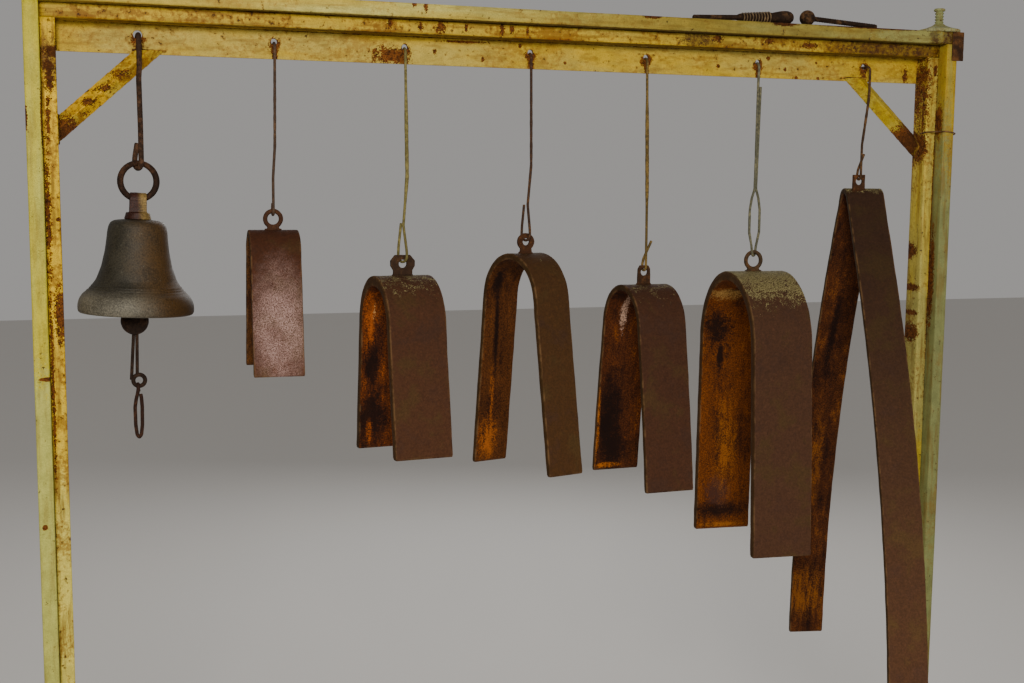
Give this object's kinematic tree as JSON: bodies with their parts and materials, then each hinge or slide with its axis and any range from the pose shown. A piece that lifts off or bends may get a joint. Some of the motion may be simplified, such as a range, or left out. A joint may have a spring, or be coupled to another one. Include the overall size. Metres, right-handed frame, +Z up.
{
  "type": "steel bell frame",
  "caption": "Yellow rusty steel portal with a hanger bar; a cast bell with clapper and bells bent from flat bar hang from it on wire hooks.",
  "frame": {"origin": "middle of the left outer post's foot, on its underside", "axes": "+X along the head to the right as seen from the front, +Y to the back, +Z up"},
  "size_m": [1.8049, 0.6069, 1.95],
  "materials": {
    "yellow_paint": "chipped, rust showing",
    "rusted_plate": "rusty, matte",
    "grey_metal": "weathered, matte",
    "beater_steel": "rusty, matte",
    "rusty_wire": "rusty, matte",
    "bell_bronze": "dark patina",
    "rusty_bar": "rusty, matte"
  },
  "bodies": {
    "portal": {"post_left_outer": "yellow_paint", "post_left_inner": "yellow_paint", "post_right_outer": "yellow_paint", "post_right_inner": "yellow_paint", "head_outer": "yellow_paint", "head_inner": "yellow_paint", "hanger_bar": "yellow_paint", "brace_left": "yellow_paint", "brace_right": "yellow_paint", "corner_plate": "rusted_plate", "post_knob": "grey_metal", "tie_wire": "rusty_wire", "beater_left": "beater_steel", "beater_right": "beater_steel"},
    "bell_hanger": {"bell_rod": "rusty_wire"},
    "ring": {"bell_ring": "rusty_wire"},
    "cast_bell": {"bell_shell": "bell_bronze", "bell_crown": "bell_bronze", "bell_staple": "rusty_wire"},
    "clapper_body": {"clapper": "rusty_wire"},
    "pull": {"pull_link": "rusty_wire"},
    "hanger_1": {"wire_hook_1": "rusty_wire"},
    "bent_1": {"bent_bell_1": "rusty_bar", "lug_1": "rusty_bar"},
    "hanger_2": {"wire_hook_2": "rusty_wire"},
    "bent_2": {"bent_bell_2": "rusty_bar", "lug_2": "rusty_bar"},
    "hanger_3": {"wire_hook_3": "rusty_wire"},
    "bent_3": {"bent_bell_3": "rusty_bar", "lug_3": "rusty_bar"},
    "hanger_4": {"wire_hook_4": "rusty_wire"},
    "bent_4": {"bent_bell_4": "rusty_bar", "lug_4": "rusty_bar"},
    "hanger_5": {"wire_hook_5": "rusty_wire"},
    "bent_5": {"bent_bell_5": "rusty_bar", "lug_5": "rusty_bar"},
    "hanger_6": {"wire_hook_6": "rusty_wire"},
    "bent_6": {"bent_bell_6": "rusty_bar", "lug_6": "rusty_bar"}
  },
  "joints": [
    {"name": "bell_hook_swing", "type": "hinge", "parent": "portal", "child": "bell_hanger", "pos_m": [0.169, 0.032, 1.8195], "axis": [-1, 0, 0], "range_deg": [-3, 20]},
    {"name": "ring_swing", "type": "hinge", "parent": "bell_hanger", "child": "ring", "pos_m": [0.1647, 0.032, 1.617], "axis": [-1, 0, 0], "range_deg": [-20, 20]},
    {"name": "bell_swing", "type": "hinge", "parent": "ring", "child": "cast_bell", "pos_m": [0.16348, 0.032, 1.55502], "axis": [-0.9992, 0, 0.0393], "range_deg": [-20, 20]},
    {"name": "clapper_swing", "type": "hinge", "parent": "cast_bell", "child": "clapper_body", "pos_m": [0.16117, 0.032, 1.49607], "axis": [-0.9992, 0, 0.0393], "range_deg": [-22, 22]},
    {"name": "pull_swing", "type": "hinge", "parent": "clapper_body", "child": "pull", "pos_m": [0.156, 0.032, 1.2297], "axis": [-1, 0, 0], "range_deg": [-40, 40]},
    {"name": "hook_swing_1", "type": "hinge", "parent": "portal", "child": "hanger_1", "pos_m": [0.3985, 0.032, 1.8195], "axis": [-1, 0, 0], "range_deg": [-6, 20]},
    {"name": "bent_swing_1", "type": "hinge", "parent": "hanger_1", "child": "bent_1", "pos_m": [0.393, 0.032, 1.5359], "axis": [-1, 0, 0], "range_deg": [-25, 25]},
    {"name": "hook_swing_2", "type": "hinge", "parent": "portal", "child": "hanger_2", "pos_m": [0.6325, 0.032, 1.8195], "axis": [-1, 0, 0], "range_deg": [-6, 20]},
    {"name": "bent_swing_2", "type": "hinge", "parent": "hanger_2", "child": "bent_2", "pos_m": [0.6285, 0.032, 1.452], "axis": [-1, 0, 0], "range_deg": [-25, 25]},
    {"name": "hook_swing_3", "type": "hinge", "parent": "portal", "child": "hanger_3", "pos_m": [0.8725, 0.032, 1.8195], "axis": [-1, 0, 0], "range_deg": [-6, 20]},
    {"name": "bent_swing_3", "type": "hinge", "parent": "hanger_3", "child": "bent_3", "pos_m": [0.8675, 0.032, 1.4906], "axis": [-1, 0, 0], "range_deg": [-25, 25]},
    {"name": "hook_swing_4", "type": "hinge", "parent": "portal", "child": "hanger_4", "pos_m": [1.1075, 0.032, 1.8195], "axis": [-1, 0, 0], "range_deg": [-6, 20]},
    {"name": "bent_swing_4", "type": "hinge", "parent": "hanger_4", "child": "bent_4", "pos_m": [1.1125, 0.032, 1.429], "axis": [-1, 0, 0], "range_deg": [-25, 25]},
    {"name": "hook_swing_5", "type": "hinge", "parent": "portal", "child": "hanger_5", "pos_m": [1.3485, 0.032, 1.8195], "axis": [-1, 0, 0], "range_deg": [-6, 20]},
    {"name": "bent_swing_5", "type": "hinge", "parent": "hanger_5", "child": "bent_5", "pos_m": [1.3525, 0.032, 1.4559], "axis": [-1, 0, 0], "range_deg": [-25, 25]},
    {"name": "hook_swing_6", "type": "hinge", "parent": "portal", "child": "hanger_6", "pos_m": [1.5905, 0.032, 1.8195], "axis": [-1, 0, 0], "range_deg": [-3, 20]},
    {"name": "bent_swing_6", "type": "hinge", "parent": "hanger_6", "child": "bent_6", "pos_m": [1.5905, 0.032, 1.6095], "axis": [-1, 0, 0], "range_deg": [-25, 25]}
  ]
}
